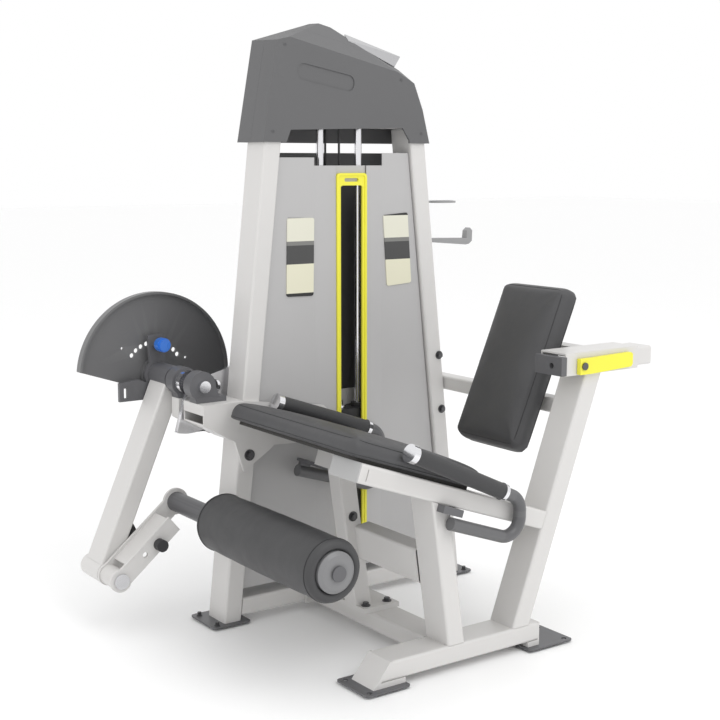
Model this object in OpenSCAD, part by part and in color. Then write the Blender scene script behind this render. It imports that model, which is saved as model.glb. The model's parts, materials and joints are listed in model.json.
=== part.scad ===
// Selectorised leg extension machine, built as separate pieces.
// +X is the sitter's left (open side), -Y is the way the sitter faces, +Z is up.
// The origin is on the floor, at the centre of the whole machine's footprint.

/* [Frame] */
// Long side of the frame tube section
tube_w = 84; // [80:1:88]
// Short side of the frame tube section
tube_t = 48; // [44:1:50]
// Wall of the frame tubes
wall = 3; // [2:0.5:4]
// Underside of the floor beams above the floor
beam_z = 20; // [18:1:24]
// Inward lean of the tower uprights in degrees
tower_lean = 6.3; // [6:0.1:6.6]

/* [Seat] */
// Backward tilt of the seat in degrees
seat_tilt = 19.4; // [19:0.1:20]
// Thickness of the seat cushion
seat_t = 54; // [46:1:56]
// Thickness of the back cushion
back_t = 65; // [54:1:66]
// Recline of the back cushion in degrees
back_tilt = 23.4; // [22:0.1:24]

/* [Movement arm] */
// Radius of the cable cam
cam_r = 211; // [205:1:213]
// Diameter of the shin roller
roller_d = 142; // [130:1:146]
// Length of the shin roller foam
roller_l = 492; // [470:1:494]

/* [Weight stack] */
// Thickness of one weight plate
plate_t = 24; // [20:1:25]
// Diameter of the guide rods
rod_d = 20; // [18:1:22]

/* [Hidden] */
$fn = 48;

light = [0.84, 0.83, 0.82];
grey = [0.72, 0.72, 0.72];
dark = [0.25, 0.25, 0.26];
black = [0.1, 0.1, 0.1];
steel = [0.8, 0.8, 0.82];
yellow = [0.95, 0.93, 0.25];

shift_x = 68.5;   // puts the origin under the middle of the machine
shift_y = -26.5;
yt = 84;           // centre of the tower along Y
tx1 = -213;        // front face of the tower uprights
tx0 = tx1 - tube_w - 1; // rear face of the tower uprights
half0 = 378.6;     // half width of the tower on the floor, outside
top_z = 1232;      // top end of the uprights
stx = -255;        // stack centre along X
xn = 344;          // near side face of the seat frame
knee = [-329, 609];   // knee axis in Y and Z
hinge = [-530, 140];  // arm hinge in Y and Z
roll = [-342, 297];   // roller axis in Y and Z
arm_a = atan2(knee[0] - hinge[0], knee[1] - hinge[1]); // arm lean, bottom forward

module rr(w, h, r) {
  square([w - 2 * r, h], center = true);
  square([w, h - 2 * r], center = true);
  for (i = [-1, 1], j = [-1, 1]) translate([i * (w / 2 - r), j * (h / 2 - r)]) circle(r);
}
// rounded outline with straight sides, w along x and h along y
module hollow(w, h, t, r) { difference() { rr(w, h, r); rr(w - 2 * t, h - 2 * t, max(r - t, 1)); } }
module tube(w, h, l) { linear_extrude(l) hollow(w, h, wall, 6); }
// along +Y from y0 to y1, lower corner z0, x centre
module tube_y(w, h, x, y0, y1, z0) { translate([x, y1, z0 + h / 2]) rotate([90, 0, 0]) linear_extrude(y1 - y0) hollow(w, h, wall, 6); }
// along +X
module tube_x(w, h, x0, x1, y, z0) { translate([x0, y, z0 + h / 2]) rotate([90, 0, 90]) linear_extrude(x1 - x0) hollow(w, h, wall, 6); }
module slab(z0, z1) { translate([-2000, -2000, z0]) cube([4000, 4000, z1 - z0]); }
function half(z) = half0 - z * tan(tower_lean);
// outline in the YZ plane, extruded from x0 to x1
module yz(x0, x1) { translate([x0, 0, 0]) rotate([90, 0, 90]) linear_extrude(x1 - x0) children(); }
module xrod(x0, x1, y, z, d) { translate([x0, y, z]) rotate([0, 90, 0]) cylinder(d = d, h = x1 - x0); }
module yrod(x, y0, y1, z, d) { translate([x, y1, z]) rotate([90, 0, 0]) cylinder(d = d, h = y1 - y0); }
// hex bolt head pointing along +X from x
module bolt_x(x, y, z, s = 11) { translate([x, y, z]) rotate([0, 90, 0]) { cylinder(r = s * 0.95, h = 2); translate([0, 0, 2]) cylinder(r = s * 0.62, h = 7, $fn = 6); } }
module bolt_z(x, y, z, s = 11) { translate([x, y, z]) { cylinder(r = s * 0.95, h = 2); translate([0, 0, 2]) cylinder(r = s * 0.62, h = 7, $fn = 6); } }

// ---------------- tower ----------------
module upright(s) {
  intersection() {
    translate([(tx0 + tx1) / 2, yt + s * half0, 0]) rotate([s * tower_lean, 0, 0])
      translate([0, -s * tube_t / 2 / 1, -40]) linear_extrude(1400) hollow(tx1 - tx0, tube_t, wall, 6);
    slab(8, top_z);
  }
}
module tower_uprights() { color(light) { upright(-1); upright(1); } }
// inner face of an upright at height z
function inner(z) = half(z) - tube_t / cos(tower_lean);
module tower_base_beam() {
  color(light) difference() {
    tube_y(tube_w, 44, (tx0 + tx1) / 2, yt - inner(beam_z) - 4, yt + inner(beam_z) + 4, beam_z);
    for (s = [-1, 1]) translate([(tx0 + tx1) / 2, yt + s * half0, 0]) rotate([s * tower_lean, 0, 0])
      translate([0, -s * tube_t / 2, -40]) linear_extrude(400) square([200, tube_t + 0.02], center = true);
    for (s = [-1, 1]) translate([(tx0 + tx1) / 2, yt + s * (half0 + 40), 0]) cube([200, 80, 400], center = true);
    for (y = [25, 143]) translate([stx, y, 40]) cylinder(d = rod_d + 0.1, h = 40);
  }
}
module tower_top_beam() {
  color(light) difference() {
    translate([stx - 28, yt - 225, top_z + 3.03]) cube([56, 450, 26]);
    translate([stx - 25, yt - 230, top_z + 6]) cube([50, 460, 20]);
    for (y = rods) translate([stx, y, 1200]) cylinder(d = rod_d + 0.1, h = 100);
    translate([stx, yt, 1200]) cylinder(d = 18, h = 100);
  }
}
module plate_hole(x0, x1, y0, y1, hx, hy) {
  difference() {
    translate([(x0 + x1) / 2, (y0 + y1) / 2, 0]) linear_extrude(8) rr(x1 - x0, y1 - y0, 9);
    for (p = [[hx[0], hy], [hx[1], hy]]) translate([p[0], p[1], -1]) cylinder(d = 13, h = 10);
  }
}
module floor_plates() {
  color(dark) translate([0, 0, 4]) {
    intersection() {
      union() {
        plate_hole(-324, -198, -331, -225, [-307, -215], -314);
        plate_hole(-324, -198, 393, 499, [-307, -215], 482);
        plate_hole(241, 363, -268, -148, [256, 348], -252);
        plate_hole(241, 363, 205, 344, [256, 348], 328);
      }
      slab(-1, 4);
    }
  }
}
module floor_pads() {
  color(black) for (p = [[-261, -278], [-261, 446], [302, -208], [302, 275]]) translate([p[0], p[1], 0]) linear_extrude(3.99) rr(108, 70, 10);
}
module connecting_beam() {
  color(light) {
    tube_x(80, 44, tx1 + 8.01, xn - tube_w - 0.01, 2, beam_z);
    difference() {
      translate([tx1 + 0.01, -56, beam_z - 2]) cube([8, 116, 52]);
      for (y = [-48, 52]) translate([tx1 - 1, y, 46]) rotate([0, 90, 0]) cylinder(d = 11, h = 10);
    }
  }
}
module seat_base_beam() {
  color(light) {
    difference() {
      tube_y(tube_w, 44, xn - tube_w / 2, -236, 245, beam_z);
      yz(xn - tube_w - 1, xn + 1) polygon([[-400, 0], [-233.4, 0], [-180.85, 68], [-400, 68]]);
    }
    // sloping foot at the front end
    yz(xn - tube_w, xn) polygon([[-238, 8.01], [-150, 8.01], [-150, beam_z - 0.01], [-218.1, beam_z - 0.01], [-184.1, beam_z + 44], [-192, beam_z + 44]]);
    translate([xn - tube_w, 245.01, 8.01]) cube([tube_w, 5, beam_z + 36]);
    translate([xn - tube_w, 215, 8.01]) cube([tube_w, 30, beam_z - 8.02]);
  }
}
mid_lean = 8.2;
module leaning(x0, x1, yc, zc, lean, w, t, z0, z1) {
  // post in the YZ plane through (yc, zc); its top leans towards -Y for a positive lean
  intersection() {
    translate([(x0 + x1) / 2, yc, zc]) rotate([lean, 0, 0]) translate([0, 0, -900]) linear_extrude(1800) hollow(w, t, wall, 6);
    slab(z0, z1);
  }
}
bz = beam_z + 44;
module cut_above_side() {
  // removes what stands above the underside of the side beam
  translate([0, -143, 430]) rotate([-seat_tilt, 0, 0]) translate([-1000, -1500, 0]) cube([2000, 3000, 1500]);
}
module middle_post() {
  color(light) difference() { leaning(xn - tube_w, xn, -53, 400, mid_lean, tube_w, tube_t, bz + 0.01, 520); cut_above_side(); }
}
module front_post() {
  color(light) {
    difference() {
      leaning(-27, 23, -80, 380, mid_lean, 50, tube_t, bz + 12.01, 436);
      cut_above_side();
    }
    difference() {
      translate([-60, -60, bz + 0.01]) cube([120, 105, 12]);
      for (p = [[38, -40], [38, 24], [-46, -40], [-46, 24]]) translate([p[0], p[1], bz - 1]) cylinder(d = 11, h = 16);
    }
  }
}
module mid_cross_beam() {
  color(light) difference() {
    translate([0, -34, 238]) rotate([mid_lean, 0, 0]) rotate([90, 0, 90]) translate([0, 0, 23.01])
      linear_extrude(xn - tube_w - 23.02) hollow(tube_t - 2, tube_w, wall, 6);
  }
}
side_w = 104;
module side_beam() {
  color(light) difference() {
    seatf() translate([xn - side_w / 2, 560, 22]) rotate([90, 0, 0]) linear_extrude(707) hollow(side_w, 44, wall, 5);
    // rear end stops at the rear post
    translate([0, 165.5, 64]) rotate([-20.4, 0, 0]) translate([-500, -0.05, -400]) cube([2000, 900, 1500]);
    // folded slot near the front end
    seatf() translate([xn - 2, -128, 8]) cube([4, 3, 26]);
  }
}
module rear_post() {
  color(light) difference() {
    intersection() {
      translate([xn - tube_w / 2, 165.6, 64]) rotate([-20.4, 0, 0]) translate([0, 25, -60]) linear_extrude(900) hollow(tube_w, 50, wall, 6);
      slab(bz + 0.01, 650);
    }
  }
}
module brace_bar() {
  color(light) difference() {
    tube_x(42, 38, tx0 + 20, 280, 427, 532);
    translate([(tx0 + tx1) / 2, yt + half0, 0]) rotate([tower_lean, 0, 0])
      translate([0, -tube_t / 2, -40]) linear_extrude(1400) square([200, tube_t + 0.1], center = true);
    translate([0, 165.6, 64]) rotate([-20.4, 0, 0]) translate([xn - tube_w - 10, 0, -60]) cube([tube_w + 20, 50.05, 900]);
  }
}
module pivot_box() {
  color(light) difference() {
    union() {
      // right part, against the face of the tower
      difference() {
        yz(-305, -203) polygon([[-348, 518], [-348, 568], [-232, 568], [-240, 470], [-262, 470]]);
        yz(-301, -207) polygon([[-352, 522], [-344, 564], [-300, 564], [-236, 564], [-240, 474], [-258, 474], [-344, 522]]);
      }
      // mounting plate on the face of the tower
      yz(-212.9, -203) polygon([[-232.2, 568], [0, 534], [41, 495], [41, 440], [-150, 449], [-160, 440], [-237, 392], [-262, 470]]);
      // left part, held from behind the upright
      yz(-368, -360) polygon([[-348, 518], [-348, 568], [-186, 568], [-186, 500], [-236, 470], [-262, 470]]);
      yz(-339, -331) polygon([[-348, 518], [-348, 568], [-262, 568], [-262, 470]]);
      yz(-360.01, -331) polygon([[-348, 560], [-348, 568], [-264, 568], [-264, 560]]);
      yz(-360.01, -331) polygon([[-348, 518], [-348, 567], [-342, 567], [-342, 518]]);
      translate([-360.01, -194, 500]) cube([360.01 - 298.1, 8, 68]);
    }
    // bolt holes
    translate([-220, -222, 432]) rotate([0, 90, 0]) cylinder(d = 13, h = 30);
    // notch for the strap behind the stack
    translate([-304, -200, 507]) cube([6, 20, 44]);
    // nothing of the box stands inside the upright
    translate([(tx0 + tx1) / 2, yt - half0, 0]) rotate([-tower_lean, 0, 0])
      translate([0, tube_t / 2, -40]) linear_extrude(1400) square([tx1 - tx0 + 0.1, tube_t + 0.1], center = true);
  }
}
module frame_bolts() {
  color(black) {
    bolt_x(-202.99, -222, 432, 15);
    for (y = [-48, 52]) bolt_x(tx1 + 8.02, y, 46, 8);
    bolt_x(tx1 + 0.01, 383, 630, 12);
    bolt_x(tx1 + 0.01, 394, 480, 12);
    for (p = [[38, -40], [38, 24]]) bolt_z(p[0], p[1], bz + 12.02, 12);
    xrod(xn + 0.01, xn + 14, 366, 672, 10); xrod(xn + 14, xn + 17, 366, 672, 18);
    bolt_x(23.01, -68, 302, 13);
    for (p = [[-307, -314], [-215, -314], [-307, 482], [-215, 482]]) bolt_z(p[0], p[1], 8.01, 8);
  }
  cover_screws();
}
module tube_plugs() {
  color(grey) {
    seatf() translate([xn - side_w / 2, -147.01, 22]) rotate([90, 0, 0]) linear_extrude(4) rr(side_w, 44, 5);
    translate([tx1 - 42.5, 0, 0]) for (s = [-1, 1]) translate([0, yt + s * (half(top_z) - 26), top_z + 0.01]) linear_extrude(3) rr(78, 44, 6);
    translate([280.01, 427, 551]) rotate([90, 0, 90]) linear_extrude(3) rr(42, 38, 5);
  }
}

// ---------------- weight stack ----------------
plate_z0 = 92;
n_rest = 12;
n_lift = 4;
pw = 236; pd = 56;
rods = [25, 143];
module guide_rods() { color(steel) for (y = rods) translate([stx, y, 40]) cylinder(d = rod_d, h = 1262 - 40); }
module rod_cushions() { color(black) for (y = rods) translate([stx, y, bz]) difference() { cylinder(d = 48, h = plate_z0 - bz); translate([0, 0, -1]) cylinder(d = rod_d + 0.12, h = 60); } }
module wplate(z, t) {
  difference() {
    translate([stx, yt, z]) linear_extrude(t - 0.6) rr(pd, pw, 6);
    for (y = rods) translate([stx, y, z - 1]) cylinder(d = rod_d + 3, h = t + 2);
    translate([stx, yt, z - 1]) cylinder(d = 29, h = t + 2);
    // cross hole for the pin
    translate([stx, yt, z + 10]) rotate([0, 90, 0]) cylinder(d = 11, h = 60);
  }
}
module plates_resting() { color(black) for (i = [0 : n_rest - 1]) wplate(plate_z0 + i * plate_t, plate_t); }
lz = plate_z0 + n_rest * plate_t;
module plates_lifted() { color(black) for (i = [0 : n_lift - 1]) wplate(lz + i * plate_t, plate_t); }
hz = lz + n_lift * plate_t;
module head_plate() {
  color(dark) difference() {
    union() {
      translate([stx, yt, hz]) linear_extrude(34) rr(pd, pw, 6);
      for (y = rods) translate([stx, y, hz]) cylinder(d = 38, h = 44);
    }
    for (y = rods) translate([stx, y, hz - 1]) cylinder(d = rod_d + 0.16, h = 60);
    translate([stx, yt, hz - 1]) cylinder(d = 26, h = 60);
  }
}
module selector_stem() {
  color(steel) difference() {
    union() {
      translate([stx, yt, hz - 372]) cylinder(d = 24, h = 372 + 34);
      translate([stx, yt, hz + 34]) cylinder(d = 32, h = 8);
      translate([stx, yt, hz + 42]) cylinder(d = 18, h = 14);
    }
    for (i = [0 : 15]) translate([stx, yt, hz - (i + 1) * plate_t + 10]) rotate([0, 90, 0]) cylinder(d = 11, h = 40, center = true);
  }
}
pin_z = lz + 10;
module selector_pin() {
  color(yellow) {
    translate([stx - 8, yt, pin_z]) rotate([0, 90, 0]) cylinder(d = 9.6, h = 46);
    translate([stx + 38, yt, pin_z]) rotate([0, 90, 0]) { cylinder(d = 15, h = 3); translate([0, 0, 2.9]) cylinder(d = 24, h = 10.6); }
  }
}

// ---------------- shrouds and cover ----------------
// outer edge of the shroud at height z, just inside the uprights
function se(z) = half(z) - tube_t / cos(tower_lean) - 3;
sh_t = 2;
module shroud_left() {
  color(grey) union() {
    yz(-226, -224) polygon([[yt - se(86), 86], [-12, 86], [-12, 1160], [yt - se(1160), 1160]]);
    // flare back to the slot channel
    translate([0, 0, 86]) linear_extrude(1054) polygon([[-226, -12], [-224, -12], [-216, 47.9], [-218, 47.9]]);
  }
}
module shroud_right() {
  color(grey) union() {
    yz(-226, -224) polygon([[yt + se(86), 86], [198, 86], [198, 1172], [yt + se(1172), 1172]]);
    translate([0, 0, 86]) linear_extrude(1054) polygon([[-224, 198], [-226, 198], [-218, 142.1], [-216, 142.1]]);
  }
}
module shroud_rear() {
  color(grey) difference() {
    union() {
      yz(-333, -331) polygon([[yt - half(86) + 26, 86], [yt + half(86) - 4, 86], [yt + half(1172) - 4, 1172], [yt - half(1172) + 26, 1172]]);
      intersection() {
        translate([(tx0 + tx1) / 2, yt - half0, 0]) rotate([-tower_lean, 0, 0])
          translate([-tube_w / 2 - 33.2, 26.5, -40]) linear_extrude(1400) square([32, 3]);
        slab(86, 1172);
      }
      intersection() {
        translate([(tx0 + tx1) / 2, yt + half0, 0]) rotate([tower_lean, 0, 0])
          translate([-tube_w / 2 - 33.2, -8, -40]) linear_extrude(1400) square([32, 3]);
        slab(86, 1172);
      }
    }
    translate([-345, yt - 360, 455]) cube([60, 190, 200]);
  }
}
module slot_frame() {
  color(yellow) difference() {
    union() {
      yz(-220, -217) translate([95, 643]) rr(93, 956, 10);
      yz(-217.01, -211.5) translate([95, 643]) rr(93, 956, 10);
    }
    yz(-240, -213) translate([95, 609]) rr(67, 962 - 0, 6);
    yz(-214, -200) translate([95, 643]) rr(81, 944, 6);
    yz(-221, -200) translate([95, 1104]) rr(44, 9, 4);
  }
}
// cover outlines in Y and Z, front face and ridge
cf = [[-170, 1197], [-128, 1440], [-92, 1449], [236, 1377], [289, 1350], [317, 1283], [340, 1197]];
cr = [[-170, 1197], [-124, 1447], [46, 1497], [74, 1500], [110, 1492], [162, 1456], [330, 1393], [338, 1300], [340, 1197]];
fa = [-159, 563]; fb = [162, 450]; fc = [162, 300]; fe = [-96, 381];
function unit(v) = v / norm(v);
function cut(p1, p0, p2, r) = p1 + unit(p0 - p1) * r / tan(acos(unit(p0 - p1) * unit(p2 - p1)) / 2);
cov_scr = [[-106, 1430], [246, 1358], [-142, 1222], [312, 1222]];

function shrink(p, s) = [for (q = p) [yt + (q[0] - yt) * s, 1197 - 6 + (q[1] - 1197) * s]];
module cover_front() {
  color(dark) difference() {
    intersection() { cover_loft(); translate([-268, -500, 1100]) cube([200, 1200, 500]); }
    cover_core();
    upright_env();
    yz(-216, -200) polygon([[-106, 1190], [-91, 1227], [252, 1236], [274, 1204], [274, 1190]]);
    yz(-209.5, -200) translate([14, 1356]) rotate(-10) rr(172, 40, 19);
    for (p = cov_scr) translate([-230, p[0], p[1]]) rotate([0, 90, 0]) cylinder(d = 8, h = 40);
    strip(4.2);
  }
}
module cover_rear() {
  color(dark) difference() {
    intersection() { cover_loft(); translate([-468.4, -500, 1100]) cube([200, 1200, 500]); }
    cover_core();
    upright_env();
    strip(4.2);
  }
}
module cover_trim() {
  // bright strip lying along the sloping right shoulder
  color(steel) strip(4);
}
module cover_screws() {
  color(steel) for (p = cov_scr) translate([-211.4, p[0], p[1]]) rotate([0, 90, 0]) cylinder(d = 7.9, h = 5);
}
module placards() {
  color([0.95, 0.95, 0.9]) {
    yz(-223.98, -221.5) translate([-56, 913]) rotate(-1) rr(80, 196, 6);
    yz(-223.98, -221.5) translate([247, 922]) rotate(4) rr(80, 186, 6);
  }
}
module bottle_ring() {
  color(steel) {
    translate([-255, 419, 1040]) difference() { cylinder(r = 40, h = 5); translate([0, 0, -1]) cylinder(r = 35, h = 7); }
    translate([-261, yt + half(1040) + 0.6, 1040]) cube([12, 419 - 36 - (yt + half(1040) + 0.6), 5]);
  }
}
module towel_hook() {
  color(dark) {
    yz(-265, -245) polygon([[yt + half(936) + 0.1, 936], [500, 924], [512, 926], [522, 934], [523, 962], [515, 970], [505, 962], [503, 942], [yt + half(944) + 0.1, 946]]);
  }
}

// ---------------- cable and pulleys ----------------
lr = 45;           // working radius of the lower pulley
cable_d = 6;
sec_r = 125;       // working radius of the cable sector
cbx = -318;        // cable plane along X
cbz = knee[1] - sec_r; // cable height below the knee axis
tr = (stx - cbx) / 2; // working radius of the top pulley
module pulley(r) {
  // axis along local Z
  difference() {
    rotate_extrude() polygon([[8, -9], [r + 5, -9], [r + 5, -6], [r - cable_d / 2, -3], [r - cable_d / 2, 3], [r + 5, 6], [r + 5, 9], [8, 9]]);
  }
}

module pulley_brackets() {
  color(light) {
    // flat strap between the uprights, behind the stack, with the lower axle
    translate([-303.5, yt - half(530) + 10, 508]) cube([5, 2 * half(530) - 20, 42]);
    xrod(-328, -303, yt - lr, cbz + lr, 15.8);
    xrod(-330.9, -328, yt - lr, cbz + lr, 24);
    for (s = [-1, 1]) translate([-291, yt + s * 15 - 2.5, top_z + 29.05]) cube([40, 5, 95]);
    yrod((cbx + stx) / 2, yt - 13, yt + 13, ptz, 15.8);
  }
}

module cable_drive() {
  color(black) {
    yrod(cbx, knee[0], yt - lr, cbz, cable_d);
    translate([cbx, yt - lr, cbz + lr]) rotate([90, 0, 90]) rotate([0, 0, 270]) rotate_extrude(angle = 90) translate([lr, 0]) circle(d = cable_d);
    translate([cbx, yt, cbz + lr]) cylinder(d = cable_d, h = ptz - cbz - lr);
    translate([(cbx + stx) / 2, yt, ptz]) rotate([90, 0, 0]) rotate_extrude(angle = 180) translate([tr, 0]) circle(d = cable_d);
  }
}
module cable_stack() { color(black) translate([stx, yt, hz + 56.02]) cylinder(d = cable_d, h = ptz - hz - 56.04); }

// ---------------- movement arm ----------------
module bearing_blocks() {
  color(dark) for (x = [-256, -350]) difference() {
    union() {
      translate([x - 18, knee[0] - 18, 568.01]) cube([36, 82, 13]);
      translate([x - 17, knee[0], knee[1]]) rotate([0, 90, 0]) cylinder(r = 36, h = 34);
      yz(x - 17, x + 17) polygon([[knee[0] - 18, 569], [knee[0] + 50, 569], [knee[0] + 34, 612], [knee[0] - 30, 612]]);
    }
    translate([x - 30, knee[0], knee[1]]) rotate([0, 90, 0]) cylinder(d = 30.08, h = 60);
    translate([x - 60, knee[0] - 62, 400]) cube([120, 194, 168.01]);
  }
}
module cam_shaft() {
  color(steel) {
    xrod(-516, -226, knee[0], knee[1], 30);
    xrod(-522, -516, knee[0], knee[1], 22);
  }
}
chord_a = -5;   // slope of the cam's flat side
module cam_disc() {
  color(dark) translate([0, knee[0], knee[1]]) difference() {
    union() {
      intersection() {
        union() {
          rotate([0, 90, 0]) translate([0, 0, -506]) cylinder(r = cam_r - 3, h = 6);
          rotate([0, 90, 0]) translate([0, 0, -509]) difference() { cylinder(r = cam_r, h = 22); translate([0, 0, -1]) cylinder(r = cam_r - 6, h = 24); }
        }
        rotate([-18.7, 0, 0]) translate([-600, -300, -47.6]) cube([300, 600, 400]);
      }
      rotate([0, 90, 0]) translate([0, 0, -514]) cylinder(r = 40, h = 29);
    }
    rotate([0, 90, 0]) translate([0, 0, -530]) cylinder(d = 30, h = 60);
    // start position holes
    for (a = [-60 : 12 : 48]) rotate([a + pin_a, 0, 0]) translate([-520, 0, pin_r]) rotate([0, 90, 0]) cylinder(d = 12, h = 40);
    for (p = [[-89, 71], [91, 33]]) translate([-520, p[0], p[1]]) rotate([0, 90, 0]) cylinder(d = 7, h = 40);
  }
}
pin_a = 3;
pin_r = 80;
module set_lever() {
  color(dark) translate([0, knee[0], knee[1]]) {
    yz(-482, -472) difference() {
      union() {
        circle(40);
        rotate(pin_a) translate([-24, 0]) square([44, 104]);
        polygon([[-112, -62], [-38, -62], [-30, -20], [-60, -8], [-112, -14]]);
      }
      circle(15);
      rotate(pin_a) translate([0, pin_r]) circle(8.05);
      translate([-100, -54]) square([10, 26]);
    }
    // hub on the shaft, the arm is held on it
    rotate([0, 90, 0]) translate([0, 0, -471.98]) difference() { cylinder(r = 32, h = 92.98); translate([0, 0, -1]) cylinder(d = 30, h = 120); }
    rotate([pin_a, 0, 0]) translate([-471.98, 0, pin_r]) rotate([0, 90, 0]) difference() { cylinder(d = 26, h = 18); translate([0, 0, -1]) cylinder(d = 16.1, h = 30); }
  }
}
module set_pin() {
  color([0.2, 0.5, 0.95]) translate([0, knee[0], knee[1]]) rotate([pin_a, 0, 0]) translate([0, 0, pin_r]) rotate([0, 90, 0]) {
    translate([0, 0, -508]) cylinder(d = 11.8, h = 30);
    translate([0, 0, -484]) cylinder(d = 16, h = 38);
    translate([0, 0, -453.4]) cylinder(d = 36, h = 22);
    translate([0, 0, -431.4]) cylinder(d = 30, h = 5);
  }
}
arm_l = norm(knee - hinge);
module input_arm() {
  color(light) difference() {
    union() {
      translate([0, knee[0], knee[1]]) rotate([-arm_a, 0, 0]) translate([-424, 0, -arm_l + 16]) linear_extrude(arm_l - 26) hollow(88, 48, 4, 6);
      // sleeve for the roller hinge
      translate([0, hinge[0], hinge[1]]) rotate([0, 90, 0]) translate([0, 0, -478]) cylinder(r = 28, h = 100);
    }
    translate([-490, knee[0], knee[1]]) rotate([0, 90, 0]) cylinder(r = 32.02, h = 140);
    translate([-490, hinge[0], hinge[1]]) rotate([0, 90, 0]) cylinder(d = 20, h = 140);
  }
}
module stop_block() {
  color(black) translate([0, hinge[0], hinge[1]]) rotate([-arm_a, 0, 0]) translate([-440, 24.1, 70]) rotate([90, 0, 90]) linear_extrude(52)
    polygon([[0, 0], [26, 10], [26, 44], [0, 66]]);
}
module hinge_pin() {
  color(steel) { xrod(-480, -298, hinge[0], hinge[1], 20); xrod(-486, -480, hinge[0], hinge[1], 38); xrod(-298, -292, hinge[0], hinge[1], 38); }
}
ra = atan2(roll[1] - hinge[1], roll[0] - hinge[0]);   // rise of the roller arm
rl = norm(roll - hinge);
module roller_arm() {
  color(light) difference() {
    union() {
      // two side webs and a cross web form a channel
      yz(-376, -368) translate(hinge) {
        circle(28);
        rotate(ra) translate([0, -24]) square([rl, 50]);
        translate(roll - hinge) circle(34);
      }
      yz(-307, -299) translate(hinge) {
        circle(28);
        rotate(ra) translate([0, -24]) square([rl - 54, 46]);
      }
      translate([0, hinge[0], hinge[1]]) rotate([0, 90, 0]) translate([0, 0, -372]) cylinder(r = 25, h = 69);
      translate([0, hinge[0], hinge[1]]) rotate([ra, 0, 0]) translate([-372, 36, 12]) cube([69, rl - 94, 8]);
    }
    translate([0, hinge[0], hinge[1]]) rotate([0, 90, 0]) translate([0, 0, -400]) cylinder(d = 20.08, h = 140);
    translate([0, hinge[0], hinge[1]]) rotate([ra, 0, 0]) {
      translate([-320, 86, 0]) rotate([0, 90, 0]) cylinder(d = 14, h = 30);
      translate([-320, 128, -8]) rotate([0, 90, 0]) cylinder(d = 14.1, h = 40);
    }
    translate([0, roll[0], roll[1]]) rotate([0, 90, 0]) translate([0, 0, -390]) cylinder(d = 25, h = 40);
  }
}
rx0 = -141; rx1 = rx0 + roller_l;
module roller_axle() {
  color(dark) {
    xrod(-386, rx1 + 12, roll[0], roll[1], 25);
    xrod(-367.9, rx0 - 10, roll[0], roll[1], 50);
    xrod(rx1 + 12, rx1 + 16, roll[0], roll[1], 34);
  }
}
module roller_knob() {
  color(black) translate([0, hinge[0], hinge[1]]) rotate([ra, 0, 0]) translate([0, 128, -8]) rotate([0, 90, 0]) {
    translate([0, 0, -350]) cylinder(d = 14, h = 60);
    translate([0, 0, -298.6]) cylinder(d = 30, h = 22);
  }
}
module roller_pad() {
  color(dark) translate([0, roll[0], roll[1]]) rotate([0, 90, 0]) translate([0, 0, rx0]) rotate_extrude() {
    difference() {
      union() {
        translate([12.55, 0]) square([roller_d / 2 - 12.55 - 14, roller_l]);
        translate([12.55, 14]) square([roller_d / 2 - 12.55, roller_l - 28]);
        translate([roller_d / 2 - 14, 14]) circle(14);
        translate([roller_d / 2 - 14, roller_l - 14]) circle(14);
      }
      translate([0, roller_l - 10]) square([46.2, 20]);
      translate([0, -10]) square([46.2, 20]);
    }
  }
}
module roller_caps() {
  color([0.45, 0.45, 0.47]) translate([0, roll[0], roll[1]]) rotate([0, 90, 0]) {
    translate([0, 0, rx0]) rotate_extrude() polygon([[12.55, 0], [46, 0], [46, 10], [12.55, 10]]);
    translate([0, 0, rx1 - 10]) rotate_extrude() polygon([[12.55, 0], [46, 0], [46, 12], [38, 18], [26, 20], [12.55, 20]]);
  }
}

// ---------------- seat ----------------
// places children in the seat's own frame: y along the seat, z out of it, origin at the beam underside
module seatf() { translate([0, -143, 430]) rotate([-seat_tilt, 0, 0]) children(); }
module seat_board() { color(black) seatf() translate([(xn - 185) / 2, seat_c, 44.02]) linear_extrude(8) rr(xn + 185 - 40, seat_l - 40, 20); }
module seat_pad() { color(dark) seatf() translate([(xn - 187.5) / 2, seat_c, 52.04]) linear_extrude(seat_t - 8) rr(xn + 182.5, seat_l, 26); }
hx = 364; hx2 = -181; ptz = 1335; // handle planes, and height of the top pulley
ha = [-159, 532]; hb = [162, 383]; hc = [162, 284]; he = [-44, 357];
seat_c = 12; seat_l = 385;

module handle_tubes() { color(dark) { loop(hx, ha, hb, hc, he); loop(hx2, fa, fb, fc, fe); } }
module hand_grips() { color(black) { grip(hx, ha, hb, 16, 290); grip(hx2, fa, fb, 16, 290); } }

// ---------------- back ----------------

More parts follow.
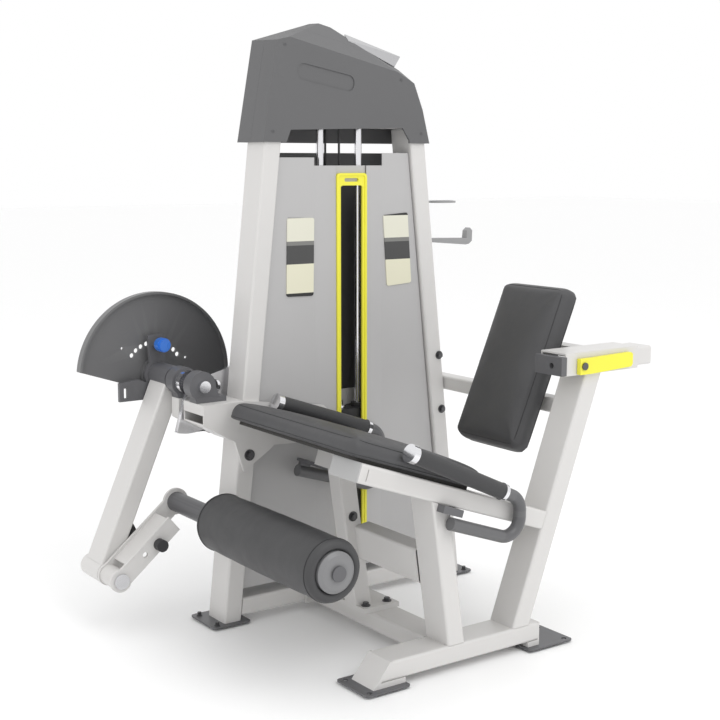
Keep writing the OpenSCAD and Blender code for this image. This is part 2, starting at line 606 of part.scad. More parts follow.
module seat_bearer() {
  color(light) difference() {
    seatf() translate([-60, 20, 0.01]) cube([xn - side_w + 60 - 0.2, 74, 43.98]);
    seatf() translate([-56, 24, 4]) cube([xn, 66, 36]);
  }
}
module cover_loft() { hull() { yz(-332, -331) polygon(cr); yz(-208, -207) polygon(cf); } }
module cover_core() { hull() { yz(-327, -326) polygon(shrink(cr, 0.985)); yz(-213, -212) polygon(shrink(cf, 0.985)); } }
module pulley_low() { color(dark) translate([cbx, yt - lr, cbz + lr]) rotate([0, 90, 0]) pulley(lr); }
module pulley_top() { color(dark) translate([(cbx + stx) / 2, yt, ptz]) rotate([90, 0, 0]) pulley(tr); }
module cam_sector() {
  // cable segment of the drive, between the bearing blocks
  color(steel) translate([0, knee[0], knee[1]]) difference() {
    union() {
      rotate([90, 0, 90]) rotate([0, 0, -106]) rotate_extrude(angle = 120) translate([0, cbx]) difference() {
        translate([26, -7]) square([sec_r + 3 - 26, 14]);
        translate([sec_r, 0]) circle(d = cable_d);
        translate([sec_r, -3]) square([10, 6]);
      }
      rotate([0, 90, 0]) translate([0, 0, cbx - 12]) cylinder(r = 30, h = 24);
    }
    rotate([0, 90, 0]) translate([0, 0, cbx - 30]) cylinder(d = 29.99, h = 60);
    // lightening holes
    for (a = [-80, -46, -12]) rotate([a, 0, 0]) translate([cbx - 30, 74, 0]) rotate([0, 90, 0]) cylinder(d = 34, h = 60);
  }
}
module seg(x, p, q, d) {
  // straight round bar in the plane X = x from p to q, given as Y and Z
  translate([x, p[0], p[1]]) rotate([atan2(-(q[0] - p[0]), q[1] - p[1]), 0, 0]) cylinder(d = d, h = norm(q - p));
}
module corner(x, p0, p1, p2, r, d) {
  // rounded corner of a bent tube at p1
  u = unit(p0 - p1); v = unit(p2 - p1);
  phi = acos(u * v) / 2;
  c = p1 + unit(u + v) * r / sin(phi);
  s = p1 + u * r / tan(phi) - c; e = p1 + v * r / tan(phi) - c;
  cw = s[0] * e[1] - s[1] * e[0] < 0;
  a0 = cw ? atan2(e[1], e[0]) : atan2(s[1], s[0]);
  translate([x, c[0], c[1]]) rotate([90, 0, 90]) rotate([0, 0, a0]) rotate_extrude(angle = 180 - 2 * phi) translate([r, 0]) circle(d = d);
}

module handle_brackets() {
  // flat brackets that carry the return tubes
  color(dark) {
    difference() {
      seatf() translate([xn - 64, 86, -17]) cube([64 + 24, 58, 16.98]);
      seg(hx, he, hc, 29.82);
      seatf() translate([xn - 30, 116, -20]) cylinder(d = 9, h = 30);
      // fits round the post
      translate([xn - tube_w / 2, -53, 400]) rotate([mid_lean, 0, 0]) translate([0, 0, -150]) linear_extrude(300) square([tube_w + 0.6, tube_t + 0.6], center = true);
    }
    difference() {
      union() {
        seatf() translate([hx2 - 14, 60, -8]) cube([146, 34, 7.98]);
        seatf() translate([hx2 - 6, 62, -30]) cube([12, 30, 23]);
      }
      seg(hx2, fe, fc, 29.82);
    }
  }
}
module grip_caps() { color(steel) { capring(hx, ha, hb, 290); capring(hx2, fa, fb, 290); } }
module slide_sleeve() {
  // open channel on the rear post, the slot faces the cushion
  color(light) difference() {
    translate([xn - tube_w, 317, 650.01]) cube([tube_w, 243, 54]);
    translate([xn - tube_w + 4, 300, 654.01]) cube([tube_w - 8, 300, 46]);
    translate([xn - tube_w - 4, 300, 662]) cube([10, 300, 30]);
  }
}
module slide_bar() {
  color(light) {
    tube_y(75.4, 45.4, xn - tube_w / 2, 470, 611, 654.31);
    // closed rear end
    translate([xn - tube_w / 2 - 35, 607, 657]) cube([70, 3.99, 40]);
    // arm across to the cushion, out of the slot
    difference() {
      translate([70, 480, 663]) cube([xn - tube_w + 4.31 - 70, 44, 28]);
      translate([66, 484, 667]) cube([300, 36, 20]);
    }
  }
}
module slide_clamp() {
  color(black) difference() {
    translate([xn - tube_w - 2, 300, 652]) cube([tube_w + 6, 16.98, 44]);
    translate([xn - 30, 290, 674]) rotate([-90, 0, 0]) cylinder(d = 14, h = 40);
  }
}
module release_lever() {
  color([0.98, 0.98, 0.2]) difference() {
    translate([xn + 1.2, 0, 0]) rotate([90, 0, 90]) linear_extrude(12) union() {
      translate([353, 652]) square([40, 38]);
      polygon([[392, 652], [524, 658], [529, 664], [529, 688], [523, 693], [392, 690]]);
    }
    translate([xn - 5, 366, 672]) rotate([0, 90, 0]) cylinder(d = 10.06, h = 30);
  }
}
module lever_screw() {
  color(steel) { xrod(xn + 0.01, xn + 14, 366, 672, 10); xrod(xn + 14, xn + 17, 366, 672, 18); }
}
module backf() { translate([0, 282, 456]) rotate([-back_tilt, 0, 0]) children(); }
module back_pad() { color(dark) backf() translate([81.5, 0, 213.5]) rotate([-90, 0, 0]) linear_extrude(back_t - 10) rr(237, 427, 28); }
module back_board() { color(black) backf() translate([81.5, back_t - 9.98, 213.5]) rotate([-90, 0, 0]) linear_extrude(10) rr(205, 395, 22); }
module back_bracket() {
  color(light) difference() {
    union() {
      backf() translate([81.5 - 35, back_t + 0.04, 165]) cube([70, 6, 135]);
      translate([81.5 - 11, 400, 663]) cube([22, 79.98, 28]);
    }
    backf() translate([0, -300, 0]) cube([400, 300 + back_t + 0.03, 500]);
  }
}

module tower_cross_beams() { tower_base_beam(); tower_top_beam(); }
module front_shrouds() { shroud_left(); shroud_right(); color(grey) yz(-222.6, -220.3) translate([48.2, 1092]) square([93.6, 48]); }
module cross_members() { mid_cross_beam(); seat_bearer(); }
module cover_fittings() { cover_trim(); }
module side_hooks() { bottle_ring(); towel_hook(); }
module drive_shaft() { cam_shaft(); cam_sector(); }
module back_carriage() { slide_bar(); back_bracket(); }

module place() { translate([shift_x, shift_y, 0]) children(); }

module strip(d) { hull() for (p = [[-322, 150, 1474], [-322, 326, 1426], [-288, 138, 1456], [-288, 283, 1398]]) translate(p) sphere(d = d, $fn = 12); }
module loop(x, a, b, c, e) {
  g = 0.03;
  b0 = cut(b, a, c, 42); b1 = cut(b, c, a, 42); c0 = cut(c, b, e, 42); c1 = cut(c, e, b, 42);
  seg(x, a + unit(b - a) * 4, b0 - unit(b - a) * g, 29.8);
  corner(x, a, b, c, 42, 29.8);
  seg(x, b1 + unit(c - b) * g, c0 - unit(c - b) * g, 29.8);
  corner(x, b, c, e, 42, 29.8);
  seg(x, c1 + unit(e - c) * g, e, 29.8);
}
module grip(x, a, b, l0, l1) {
  difference() { seg(x, a + unit(b - a) * l0, a + unit(b - a) * l1, 38); seg(x, a, b, 29.84); }
}
module capring(x, a, b, l1) {
  difference() {
    union() {
      seg(x, a, a + unit(b - a) * 15.98, 42);
      seg(x, a + unit(b - a) * (l1 + 0.02), a + unit(b - a) * (l1 + 10), 41);
    }
    seg(x, a + unit(b - a) * 4, b, 29.84);
  }
}

module upright_env() {
  // room for the capped tops of the uprights inside the cover
  for (s = [-1, 1]) intersection() {
    translate([(tx0 + tx1) / 2, yt + s * half0, 0]) rotate([s * tower_lean, 0, 0])
      translate([0, -s * tube_t / 2, -40]) linear_extrude(1400) square([tx1 - tx0 + 1, tube_t + 1], center = true);
    slab(1100, top_z + 4);
  }
}

place() tower_uprights();
place() tower_cross_beams();
place() floor_plates();
place() floor_pads();
place() connecting_beam();
place() seat_base_beam();
place() front_post();
place() middle_post();
place() cross_members();
place() side_beam();
place() rear_post();
place() brace_bar();
place() pivot_box();
place() frame_bolts();
place() tube_plugs();
place() guide_rods();
place() rod_cushions();
place() plates_resting();
place() head_plate();
place() plates_lifted();
place() selector_stem();
place() selector_pin();
place() front_shrouds();
place() shroud_rear();
place() slot_frame();
place() cover_front();
place() cover_rear();
place() cover_fittings();
place() placards();
place() side_hooks();
place() pulley_low();
place() pulley_top();
place() pulley_brackets();
place() cable_drive();
place() cable_stack();
place() bearing_blocks();
place() drive_shaft();
place() cam_disc();
place() set_lever();
place() set_pin();
place() input_arm();
place() stop_block();
place() hinge_pin();
place() roller_arm();
place() roller_axle();
place() roller_knob();
place() roller_pad();
place() roller_caps();
place() seat_board();
place() seat_pad();
place() handle_tubes();
place() handle_brackets();
place() hand_grips();
place() grip_caps();
place() slide_sleeve();
place() slide_clamp();
place() release_lever();
place() back_carriage();
place() back_board();
place() back_pad();
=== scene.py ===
import bpy, bmesh, math, json
from mathutils import Vector, Matrix
from mathutils.bvhtree import BVHTree

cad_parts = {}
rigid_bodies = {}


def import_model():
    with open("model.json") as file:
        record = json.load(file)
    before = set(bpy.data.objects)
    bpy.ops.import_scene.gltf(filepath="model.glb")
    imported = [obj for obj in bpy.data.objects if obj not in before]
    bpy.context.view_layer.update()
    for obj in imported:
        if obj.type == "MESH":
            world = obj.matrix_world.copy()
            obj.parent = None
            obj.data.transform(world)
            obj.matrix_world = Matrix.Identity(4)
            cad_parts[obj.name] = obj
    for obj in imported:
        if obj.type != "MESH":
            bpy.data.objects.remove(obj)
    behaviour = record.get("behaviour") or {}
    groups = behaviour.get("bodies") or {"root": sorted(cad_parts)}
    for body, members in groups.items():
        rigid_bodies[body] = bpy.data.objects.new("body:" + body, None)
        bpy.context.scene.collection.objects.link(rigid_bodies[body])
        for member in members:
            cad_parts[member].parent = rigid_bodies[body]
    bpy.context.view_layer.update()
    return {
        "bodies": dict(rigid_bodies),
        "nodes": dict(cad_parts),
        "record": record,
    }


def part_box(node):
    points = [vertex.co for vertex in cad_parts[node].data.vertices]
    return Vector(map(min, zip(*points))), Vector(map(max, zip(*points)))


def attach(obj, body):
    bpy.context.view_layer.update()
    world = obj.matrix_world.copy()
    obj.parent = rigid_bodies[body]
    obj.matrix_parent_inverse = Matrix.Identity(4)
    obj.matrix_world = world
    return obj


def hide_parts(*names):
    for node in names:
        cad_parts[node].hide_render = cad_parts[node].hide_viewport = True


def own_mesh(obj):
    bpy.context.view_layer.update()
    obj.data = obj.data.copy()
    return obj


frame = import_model()
nodes, bodies = frame["nodes"], frame["bodies"]
SX, SY = 68.5, -26.5


def P(x, y, z):
    return Vector(((x + SX) / 1000, (y + SY) / 1000, z / 1000))


# ------------------------------------------------------------------ materials
def base_mat(name):
    m = bpy.data.materials.new(name)
    m.use_nodes = True
    nt = m.node_tree
    return m, nt, nt.nodes["Principled BSDF"]


def finish_mat(name, col, rough, metal=0.0, bump=0.1, bump_scale=400.0, bump_dist=0.0006, rough_var=0.08, col_var=0.06,
               var_scale=5.0, coat=0.0, coat_rough=0.2, wear=0.0, wear_col=(0.5, 0.5, 0.5), sheen=0.0, spec=0.5, brushed=None):
    m, nt, b = base_mat(name)
    N, L = nt.nodes, nt.links
    b.inputs["Metallic"].default_value = metal
    b.inputs["Coat Weight"].default_value = coat
    b.inputs["Coat Roughness"].default_value = coat_rough
    b.inputs["Sheen Weight"].default_value = sheen
    b.inputs["Specular IOR Level"].default_value = spec
    tc = N.new("ShaderNodeTexCoord")
    mp = N.new("ShaderNodeMapping")
    L.new(tc.outputs["Object"], mp.inputs["Vector"])
    if brushed:
        mp.inputs["Scale"].default_value = brushed
    big = N.new("ShaderNodeTexNoise")
    big.inputs["Scale"].default_value = var_scale
    big.inputs["Detail"].default_value = 6
    L.new(tc.outputs["Object"], big.inputs["Vector"])
    fine = N.new("ShaderNodeTexNoise")
    fine.inputs["Scale"].default_value = bump_scale
    fine.inputs["Detail"].default_value = 3
    L.new(mp.outputs["Vector"], fine.inputs["Vector"])
    # colour variation
    mix = N.new("ShaderNodeMix")
    mix.data_type = "RGBA"
    dk = [max(0.0, c * (1 - col_var)) for c in col[:3]] + [1]
    lt = [min(1.0, c * (1 + col_var)) for c in col[:3]] + [1]
    mix.inputs[6].default_value = dk
    mix.inputs[7].default_value = lt
    L.new(big.outputs["Fac"], mix.inputs[0])
    out = mix.outputs[2]
    if wear > 0:
        geo = N.new("ShaderNodeNewGeometry")
        ramp = N.new("ShaderNodeValToRGB")
        ramp.color_ramp.elements[0].position = 0.54
        ramp.color_ramp.elements[1].position = 0.62
        L.new(geo.outputs["Pointiness"], ramp.inputs["Fac"])
        mul = N.new("ShaderNodeMath")
        mul.operation = "MULTIPLY"
        mul.inputs[1].default_value = wear
        L.new(ramp.outputs["Color"], mul.inputs[0])
        mix2 = N.new("ShaderNodeMix")
        mix2.data_type = "RGBA"
        mix2.inputs[7].default_value = list(wear_col) + [1]
        L.new(out, mix2.inputs[6])
        L.new(mul.outputs[0], mix2.inputs[0])
        out = mix2.outputs[2]
    L.new(out, b.inputs["Base Color"])
    mr = N.new("ShaderNodeMapRange")
    mr.inputs["To Min"].default_value = max(0.02, rough - rough_var)
    mr.inputs["To Max"].default_value = min(1.0, rough + rough_var)
    L.new(big.outputs["Fac"], mr.inputs["Value"])
    L.new(mr.outputs["Result"], b.inputs["Roughness"])
    bp = N.new("ShaderNodeBump")
    bp.inputs["Strength"].default_value = bump
    bp.inputs["Distance"].default_value = bump_dist
    L.new(fine.outputs["Fac"], bp.inputs["Height"])
    L.new(bp.outputs["Normal"], b.inputs["Normal"])
    return m


def leather_mat(name, col):
    m, nt, b = base_mat(name)
    N, L = nt.nodes, nt.links
    tc = N.new("ShaderNodeTexCoord")
    v = N.new("ShaderNodeTexVoronoi")
    v.feature = "DISTANCE_TO_EDGE"
    v.inputs["Scale"].default_value = 420
    n = N.new("ShaderNodeTexNoise")
    n.inputs["Scale"].default_value = 7
    n.inputs["Detail"].default_value = 5
    w = N.new("ShaderNodeTexNoise")
    w.inputs["Scale"].default_value = 26
    w.inputs["Detail"].default_value = 4
    for q in (v, n, w):
        L.new(tc.outputs["Object"], q.inputs["Vector"])
    mix = N.new("ShaderNodeMix")
    mix.data_type = "RGBA"
    mix.inputs[6].default_value = [c * 0.82 for c in col] + [1]
    mix.inputs[7].default_value = [c * 1.18 for c in col] + [1]
    L.new(n.outputs["Fac"], mix.inputs[0])
    L.new(mix.outputs[2], b.inputs["Base Color"])
    mr = N.new("ShaderNodeMapRange")
    mr.inputs["To Min"].default_value = 0.42
    mr.inputs["To Max"].default_value = 0.6
    L.new(w.outputs["Fac"], mr.inputs["Value"])
    L.new(mr.outputs["Result"], b.inputs["Roughness"])
    b1 = N.new("ShaderNodeBump")
    b1.inputs["Strength"].default_value = 0.28
    b1.inputs["Distance"].default_value = 0.0006
    L.new(v.outputs["Distance"], b1.inputs["Height"])
    b2 = N.new("ShaderNodeBump")
    b2.inputs["Strength"].default_value = 0.22
    b2.inputs["Distance"].default_value = 0.004
    L.new(w.outputs["Fac"], b2.inputs["Height"])
    L.new(b1.outputs["Normal"], b2.inputs["Normal"])
    L.new(b2.outputs["Normal"], b.inputs["Normal"])
    return m


def placard_mat(name, z0, z1):
    # blank generic panel: pale ends, dark centre block
    m, nt, b = base_mat(name)
    N, L = nt.nodes, nt.links
    tc = N.new("ShaderNodeTexCoord")
    sp = N.new("ShaderNodeSeparateXYZ")
    L.new(tc.outputs["Object"], sp.inputs[0])
    mr = N.new("ShaderNodeMapRange")
    mr.inputs["From Min"].default_value = z0
    mr.inputs["From Max"].default_value = z1
    L.new(sp.outputs["Z"], mr.inputs["Value"])
    r = N.new("ShaderNodeValToRGB")
    r.color_ramp.interpolation = "CONSTANT"
    e = r.color_ramp.elements
    e[0].position = 0.0
    e[0].color = (0.02, 0.02, 0.02, 1)
    e[1].position = 0.04
    e[1].color = (0.74, 0.72, 0.56, 1)
    for p_, c_ in ((0.40, (0.06, 0.06, 0.06, 1)), (0.63, (0.20, 0.20, 0.19, 1)), (0.68, (0.72, 0.71, 0.60, 1)), (0.965, (0.02, 0.02, 0.02, 1))):
        q = e.new(p_)
        q.color = c_
    L.new(mr.outputs["Result"], r.inputs["Fac"])
    L.new(r.outputs["Color"], b.inputs["Base Color"])
    n = N.new("ShaderNodeTexNoise")
    n.inputs["Scale"].default_value = 60
    L.new(tc.outputs["Object"], n.inputs["Vector"])
    m2 = N.new("ShaderNodeMapRange")
    m2.inputs["To Min"].default_value = 0.3
    m2.inputs["To Max"].default_value = 0.45
    L.new(n.outputs["Fac"], m2.inputs["Value"])
    L.new(m2.outputs["Result"], b.inputs["Roughness"])
    bp = N.new("ShaderNodeBump")
    bp.inputs["Strength"].default_value = 0.08
    bp.inputs["Distance"].default_value = 0.001
    L.new(n.outputs["Fac"], bp.inputs["Height"])
    L.new(bp.outputs["Normal"], b.inputs["Normal"])
    return m


M = {
    "frame_paint": finish_mat("frame_paint", (0.60, 0.588, 0.575), 0.42, bump=0.12, bump_scale=700, rough_var=0.06, col_var=0.03, coat=0.15, wear=0.25, wear_col=(0.75, 0.74, 0.73)),
    "foot_paint": finish_mat("foot_paint", (0.085, 0.085, 0.09), 0.45, bump=0.15, bump_scale=600, wear=0.35, wear_col=(0.16, 0.16, 0.17), coat=0.1),
    "disc_paint": finish_mat("disc_paint", (0.125, 0.125, 0.128), 0.42, bump=0.12, bump_scale=600, wear=0.3, wear_col=(0.2, 0.2, 0.2), coat=0.1, col_var=0.08),
    "black_bolt": finish_mat("black_bolt", (0.04, 0.04, 0.045), 0.35, metal=0.6, bump=0.1, wear=0.4, wear_col=(0.25, 0.25, 0.25)),
    "foot_rubber": finish_mat("foot_rubber", (0.018, 0.018, 0.018), 0.75, bump=0.35, bump_scale=260, bump_dist=0.001, sheen=0.1),
    "grip_rubber": finish_mat("grip_rubber", (0.035, 0.035, 0.037), 0.62, bump=0.5, bump_scale=330, bump_dist=0.0012, sheen=0.15, col_var=0.12),
    "chrome": finish_mat("chrome", (0.80, 0.80, 0.82), 0.14, metal=1.0, bump=0.04, bump_scale=90, rough_var=0.05, col_var=0.03),
    "plate_iron": finish_mat("plate_iron", (0.022, 0.022, 0.024), 0.5, bump=0.5, bump_scale=300, bump_dist=0.001, wear=0.5, wear_col=(0.09, 0.09, 0.09)),
    "shroud_paint": finish_mat("shroud_paint", (0.46, 0.455, 0.455), 0.5, bump=0.1, bump_scale=600, rough_var=0.07, col_var=0.03),
    "yellow_plastic": finish_mat("yellow_plastic", (0.84, 0.79, 0.06), 0.42, bump=0.15, bump_scale=500, col_var=0.04),
    "cover_plastic": finish_mat("cover_plastic", (0.115, 0.115, 0.118), 0.55, bump=0.5, bump_scale=520, bump_dist=0.0008, col_var=0.07, rough_var=0.1),
    "silver_trim": finish_mat("silver_trim", (0.48, 0.48, 0.49), 0.3, metal=0.8, bump=0.05, bump_scale=400),
    "plug_plastic": finish_mat("plug_plastic", (0.42, 0.42, 0.42), 0.55, bump=0.25),
    "hook_paint": finish_mat("hook_paint", (0.22, 0.22, 0.225), 0.42, bump=0.15, wear=0.3),
    "pulley_plastic": finish_mat("pulley_plastic", (0.035, 0.035, 0.037), 0.4, bump=0.1),
    "cable_sheath": finish_mat("cable_sheath", (0.015, 0.015, 0.016), 0.35, bump=0.2, bump_scale=900),
    "blue_plastic": finish_mat("blue_plastic", (0.02, 0.16, 0.62), 0.25, bump=0.06, coat=0.4),
    "black_plastic": finish_mat("black_plastic", (0.025, 0.025, 0.028), 0.42, bump=0.2),
    "cap_plastic": finish_mat("cap_plastic", (0.20, 0.20, 0.205), 0.42, bump=0.15, coat=0.15),
    "board_wood": finish_mat("board_wood", (0.03, 0.028, 0.026), 0.6, bump=0.3, bump_scale=40, brushed=(1, 14, 1), col_var=0.15),
    "handle_paint": finish_mat("handle_paint", (0.10, 0.10, 0.105), 0.38, bump=0.1, coat=0.2, wear=0.2, wear_col=(0.2, 0.2, 0.2)),
    "upholstery": leather_mat("upholstery", (0.060, 0.060, 0.063)),
    "roller_foam": leather_mat("roller_foam", (0.045, 0.045, 0.047)),
}
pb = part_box("placards")
M["placard"] = placard_mat("placard", pb[0][2], pb[1][2])
slot_of = {s["node"]: s["material_slot"] for s in frame["record"]["subparts"]}
use = {"cam_disc": "disc_paint", "hand_grips": "grip_rubber"}
no_bevel = {"cable_drive", "cable_stack", "handle_tubes", "guide_rods", "cover_front", "cover_rear"}
for name, o in nodes.items():
    m = M[use.get(name, slot_of[name])]
    if len(o.data.materials):
        for i in range(len(o.data.materials)):
            o.material_slots[i].link = "OBJECT"
            o.material_slots[i].material = m
    else:
        o.data.materials.append(m)
    if name not in no_bevel:
        bv = o.modifiers.new("edge", "BEVEL")
        bv.width = 0.0012 if name not in ("placards", "front_shrouds") else 0.0005
        bv.segments = 2
        bv.limit_method = "ANGLE"
        bv.angle_limit = math.radians(35)
        bv.use_clamp_overlap = True


# ------------------------------------------------------------------ helpers
def new_obj(name, verts, faces, mat, smooth=True):
    me = bpy.data.meshes.new(name)
    me.from_pydata([tuple(v) for v in verts], [], faces)
    me.validate()
    me.update()
    me.materials.append(mat)
    o = bpy.data.objects.new(name, me)
    bpy.context.scene.collection.objects.link(o)
    if smooth:
        for p in me.polygons:
            p.use_smooth = True
    bm = bmesh.new()
    bm.from_mesh(me)
    bmesh.ops.recalc_face_normals(bm, faces=bm.faces)
    bm.to_mesh(me)
    bm.free()
    return o


def tube(name, pts, r, mat, closed=False, seg=8):
    # swept round tube through the points
    n = len(pts)
    verts, faces = [], []
    up = None
    for i, p in enumerate(pts):
        a = pts[(i - 1) % n] if (closed or i > 0) else pts[i]
        b = pts[(i + 1) % n] if (closed or i < n - 1) else pts[i]
        t = (b - a).normalized()
        if up is None:
            up = Vector((0, 0, 1)) if abs(t.z) < 0.9 else Vector((1, 0, 0))
            up = (up - t * up.dot(t)).normalized()
        else:
            up = (up - t * up.dot(t)).normalized()
        s = t.cross(up)
        for k in range(seg):
            an = 2 * math.pi * k / seg
            verts.append(p + (up * math.cos(an) + s * math.sin(an)) * r)
    m = n if closed else n - 1
    if closed:
        # nearest twist match for the last ring
        first = verts[:seg]
        last = verts[-seg:]
        best = min(range(seg), key=lambda d: sum((first[(k + d) % seg] - last[k]).length for k in range(seg)))
    for i in range(m):
        for k in range(seg):
            j = (i + 1) % n
            d = best if (closed and j == 0) else 0
            faces.append((i * seg + k, i * seg + (k + 1) % seg, j * seg + (k + 1 + d) % seg, j * seg + (k + d) % seg))
    if not closed:
        faces.append(tuple(range(seg))[::-1])
        faces.append(tuple((n - 1) * seg + k for k in range(seg)))
    return new_obj(name, verts, faces, mat)


def lathe_x(name, prof, centre, mat, seg=96):
    # prof: list of (x, r) from one axis end to the other; revolved about X through centre
    verts, faces = [], []
    for x, r in prof:
        for k in range(seg):
            a = 2 * math.pi * k / seg
            verts.append(Vector((x, centre.y + r * math.cos(a), centre.z + r * math.sin(a))))
    for i in range(len(prof) - 1):
        for k in range(seg):
            faces.append((i * seg + k, i * seg + (k + 1) % seg, (i + 1) * seg + (k + 1) % seg, (i + 1) * seg + k))
    # join both ends into a closed ring shape
    last = (len(prof) - 1) * seg
    for k in range(seg):
        faces.append((last + k, last + (k + 1) % seg, (k + 1) % seg, k))
    return new_obj(name, verts, faces, mat)


def cushion(node, mat, origin, ax_u, ax_v, ax_n, size_u, size_v, thick, crown, fill, radius):
    """ax_n points away from the backing board; origin is the middle of the pad's back face."""
    src = nodes[node]
    me = src.data.copy()
    o = bpy.data.objects.new(node + "_cover", me)
    bpy.context.scene.collection.objects.link(o)
    me.materials.clear()
    me.materials.append(mat)
    bpy.context.view_layer.objects.active = o
    rm = o.modifiers.new("rm", "REMESH")
    rm.mode = "VOXEL"
    rm.voxel_size = 0.006
    deps = bpy.context.evaluated_depsgraph_get()
    ev = o.evaluated_get(deps)
    m2 = bpy.data.meshes.new_from_object(ev)
    o.modifiers.clear()
    o.data = m2
    m2.materials.clear()
    m2.materials.append(mat)
    # round the edges over and crown the face
    hu, hv = size_u / 2, size_v / 2
    for v in m2.vertices:
        d = v.co - origin
        u, w, n = d.dot(ax_u), d.dot(ax_v), d.dot(ax_n)
        t = max(0.0, min(1.0, n / thick))
        eu = min(1.0, abs(u) / hu)
        ew = min(1.0, abs(w) / hv)
        c = (1 - eu ** 3) * (1 - ew ** 3)
        # soft shoulder: points near the rim come in and down as they near the face
        rim = max(eu, ew)
        du = -math.copysign(1, u) * radius * 0.55 * max(0.0, t - 0.45) ** 2 / 0.3 * (eu ** 12)
        dw = -math.copysign(1, w) * radius * 0.55 * max(0.0, t - 0.45) ** 2 / 0.3 * (ew ** 12)
        dn = t * (crown * c - radius * 0.42 * max(eu ** 14, ew ** 14))
        v.co = v.co + ax_u * du + ax_v * dw + ax_n * dn
    rest = [v.co.copy() for v in m2.vertices]
    vg = o.vertex_groups.new(name="hold")
    hold = []
    for v in m2.vertices:
        if (v.co - origin).dot(ax_n) < 0.009:
            hold.append(v.index)
    vg.add(hold, 1.0, "REPLACE")
    cl = o.modifiers.new("cloth", "CLOTH")
    s = cl.settings
    s.quality = 5
    s.mass = 0.35
    s.use_pressure = True
    s.uniform_pressure_force = 1.0
    s.tension_stiffness = 40
    s.compression_stiffness = 40
    s.shear_stiffness = 8
    s.bending_stiffness = 8
    s.effector_weights.gravity = 0
    s.vertex_group_mass = "hold"
    cl.point_cache.frame_start = 1
    cl.point_cache.frame_end = 20
    sc = bpy.context.scene
    for f in range(1, 21):
        sc.frame_set(f)
    deps = bpy.context.evaluated_depsgraph_get()
    m3 = bpy.data.meshes.new_from_object(o.evaluated_get(deps))
    o.modifiers.clear()
    sc.frame_set(1)
    cap = 0.006
    if len(m3.vertices) == len(rest):
        for v, r in zip(m3.vertices, rest):
            d = v.co - r
            if d.length > cap:
                v.co = r + d * (cap / d.length)
    o.data = m3
    me = o.data
    # light smoothing
    bm = bmesh.new()
    bm.from_mesh(me)
    for _ in range(3):
        bmesh.ops.smooth_vert(bm, verts=bm.verts, factor=0.5, use_axis_x=True, use_axis_y=True, use_axis_z=True)
    bm.to_mesh(me)
    bm.free()
    for p in me.polygons:
        p.use_smooth = True
    return o


def ring_path(origin, ax_u, ax_v, hu, hv, r, n=24):
    pts = []
    for cx, cy, a0 in ((hu - r, hv - r, 0), (-hu + r, hv - r, 90), (-hu + r, -hv + r, 180), (hu - r, -hv + r, 270)):
        for i in range(n // 4 + 1):
            a = math.radians(a0 + 90 * i / (n // 4))
            pts.append(origin + ax_u * (cx + r * math.cos(a)) + ax_v * (cy + r * math.sin(a)))
    out = []
    m = len(pts)
    for i in range(m):
        a, b = pts[i], pts[(i + 1) % m]
        k = max(1, int((b - a).length / 0.012))
        for j in range(k):
            out.append(a.lerp(b, j / k))
    return out


def on_surface(pts, obj, lift):
    bm = bmesh.new()
    bm.from_mesh(obj.data)
    tree = BVHTree.FromBMesh(bm)
    out = []
    for p in pts:
        loc, nor, _, _ = tree.find_nearest(p)
        out.append(loc + nor * lift)
    bm.free()
    for _ in range(2):
        out = [(out[i - 1] + out[i] * 2 + out[(i + 1) % len(out)]) / 4 for i in range(len(out))]
    return out


# ------------------------------------------------------------------ cushions
seam = finish_mat("seam_thread", (0.03, 0.03, 0.032), 0.55, bump=0.4, bump_scale=900)
th = math.radians(19.4)
su, sv, sn = Vector((1, 0, 0)), Vector((0, math.cos(th), -math.sin(th))), Vector((0, math.sin(th), math.cos(th)))
so = P(0, -143, 430)
seat_o = so + su * ((344 - 187.5) / 2000) + sv * 0.012 + sn * 0.05204
seat = cushion("seat_pad", M["upholstery"], seat_o, su, sv, sn, 0.5265, 0.385, 0.046, 0.006, 0.8, 0.02)
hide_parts("seat_pad")
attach(seat, "frame")
rp = on_surface(ring_path(seat_o + sn * 0.006, su, sv, 0.26325, 0.1925, 0.026), seat, 0.0002)
r1 = tube("seat_seam_low", rp, 0.0013, seam, closed=True, seg=6)
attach(r1, "frame")

tb = math.radians(23.4)
# the cushion's face looks towards -Y and a little up
bu = Vector((1, 0, 0))
bv_ = Vector((0, math.sin(tb), math.cos(tb)))
bn = Vector((0, -math.cos(tb), math.sin(tb)))
b0 = P(0, 282, 456)
back_o = b0 + bu * 0.0815 + bv_ * 0.2135 - bn * 0.055
back = cushion("back_pad", M["upholstery"], back_o, bu, bv_, bn, 0.237, 0.427, 0.055, 0.006, 0.8, 0.022)
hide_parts("back_pad")
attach(back, "backrest")
rp = on_surface(ring_path(back_o + bn * 0.006, bu, bv_, 0.1185, 0.2135, 0.028), back, 0.0002)
r2 = tube("back_seam_low", rp, 0.0013, seam, closed=True, seg=6)
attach(r2, "backrest")
rp = on_surface(ring_path(back_o + bn * 0.049, bu, bv_, 0.113, 0.208, 0.028), back, 0.0)
r3 = tube("back_seam_high", rp, 0.0011, seam, closed=True, seg=6)
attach(r3, "backrest")
rp = on_surface(ring_path(seat_o + sn * 0.040, su, sv, 0.25675, 0.186, 0.026), seat, 0.0)
r4 = tube("seat_seam_high", rp, 0.0011, seam, closed=True, seg=6)
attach(r4, "frame")

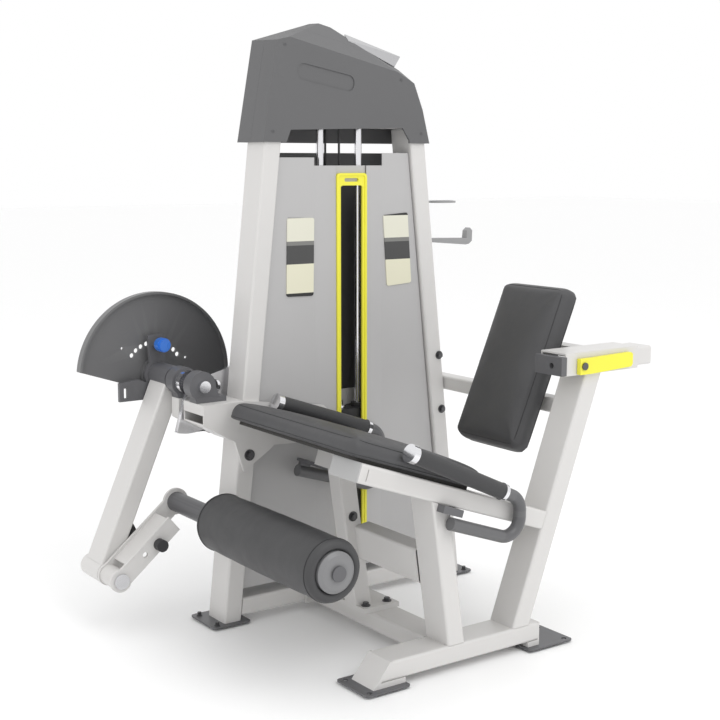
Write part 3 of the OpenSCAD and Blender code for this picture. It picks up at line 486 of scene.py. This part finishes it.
# shin roller: a vinyl skinned foam sleeve, slightly barrelled, with a rolled end and end seams
rc = P(0, -342, 297)
x0, x1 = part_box("roller_pad")[0][0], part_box("roller_pad")[1][0]
R, Ri = 0.071, 0.0127
prof = [(x0 + 0.0101, Ri), (x0 + 0.0101, 0.0462), (x0 + 0.004, 0.0475), (x0 + 0.001, 0.052)]
for i in range(9):
    a = math.pi / 2 * i / 8
    prof.append((x0 + 0.015 - 0.0148 * math.cos(a), R - 0.0165 + 0.0148 * math.sin(a)))
nn = 40
for i in range(1, nn):
    t = i / nn
    x = x0 + 0.015 + (x1 - x0 - 0.03) * t
    rip = 0.00035 * math.sin(t * 61.0) * math.sin(t * 23.0)
    prof.append((x, R - 0.0017 + 0.0014 * math.sin(math.pi * t) + rip))
for i in range(9):
    a = math.pi / 2 * i / 8
    prof.append((x1 - 0.015 + 0.0148 * math.sin(a), R - 0.0165 + 0.0148 * math.cos(a)))
prof += [(x1 - 0.001, 0.052), (x1 - 0.004, 0.0475), (x1 - 0.0101, 0.0462), (x1 - 0.0101, Ri)]
roller = lathe_x("roller_sleeve", prof, rc, M["roller_foam"])
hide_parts("roller_pad")
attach(roller, "shin_roller")
for i, xx in enumerate((x0 + 0.017, x1 - 0.017)):
    pts = [Vector((xx, rc.y + (R - 0.0012) * math.cos(2 * math.pi * k / 72), rc.z + (R - 0.0012) * math.sin(2 * math.pi * k / 72))) for k in range(72)]
    s_ = tube("roller_seam_%d" % i, pts, 0.0011, seam, closed=True, seg=6)
    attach(s_, "shin_roller")

# ------------------------------------------------------------------ cable above the head plate
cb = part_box("cable_stack")
cx_, cy_ = (cb[0][0] + cb[1][0]) / 2, (cb[0][1] + cb[1][1]) / 2
pts = [Vector((cx_, cy_, cb[0][2] + (cb[1][2] - cb[0][2]) * i / 12)) for i in range(13)]
cab = tube("stack_cable", pts, 0.003, M["cable_sheath"], seg=12)
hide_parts("cable_stack")
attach(cab, "stack")


# ------------------------------------------------------------------ stage, light and camera
def plane(name, size, z, mat):
    o = new_obj(name, [(-size, -size, z), (size, -size, z), (size, size, z), (-size, size, z)], [(0, 1, 2, 3)], mat, False)
    return o


fm = finish_mat("floor_white", (0.985, 0.985, 0.985), 0.75, bump=0.02, col_var=0.0, rough_var=0.02)
plane("floor", 30, -0.0005, fm)
w = bpy.data.worlds.new("studio")
bpy.context.scene.world = w
w.use_nodes = True
w.node_tree.nodes["Background"].inputs["Color"].default_value = (1, 1, 1, 1)
w.node_tree.nodes["Background"].inputs["Strength"].default_value = 1.0


def area(name, loc, target, size, power):
    d = bpy.data.lights.new(name, "AREA")
    d.energy = power
    d.size = size
    o = bpy.data.objects.new(name, d)
    bpy.context.scene.collection.objects.link(o)
    o.location = loc
    o.rotation_euler = (Vector(target) - Vector(loc)).to_track_quat("-Z", "Y").to_euler()
    return o


area("key", (3.2, 0.6, 3.6), (0, 0, 0.7), 2.6, 40)
area("fill", (0.4, -3.6, 2.4), (0, 0, 0.7), 3.0, 10)
area("top", (0, 0, 4.2), (0, 0, 0), 3.5, 15)
cd = bpy.data.cameras.new("view")
cd.sensor_width = 36
cd.lens = 1317.5 / 720 * 36
cam = bpy.data.objects.new("view", cd)
bpy.context.scene.collection.objects.link(cam)
yaw, pit = math.radians(144.686), math.radians(8.532)
cam.location = P(2557, -1842, 1148)
fw = Vector((math.cos(yaw) * math.cos(pit), math.sin(yaw) * math.cos(pit), -math.sin(pit)))
cam.rotation_euler = fw.to_track_quat("-Z", "Y").to_euler()
bpy.context.scene.camera = cam
bpy.context.scene.view_settings.view_transform = "Standard"
bpy.context.scene.view_settings.look = "None"

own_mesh(cab)
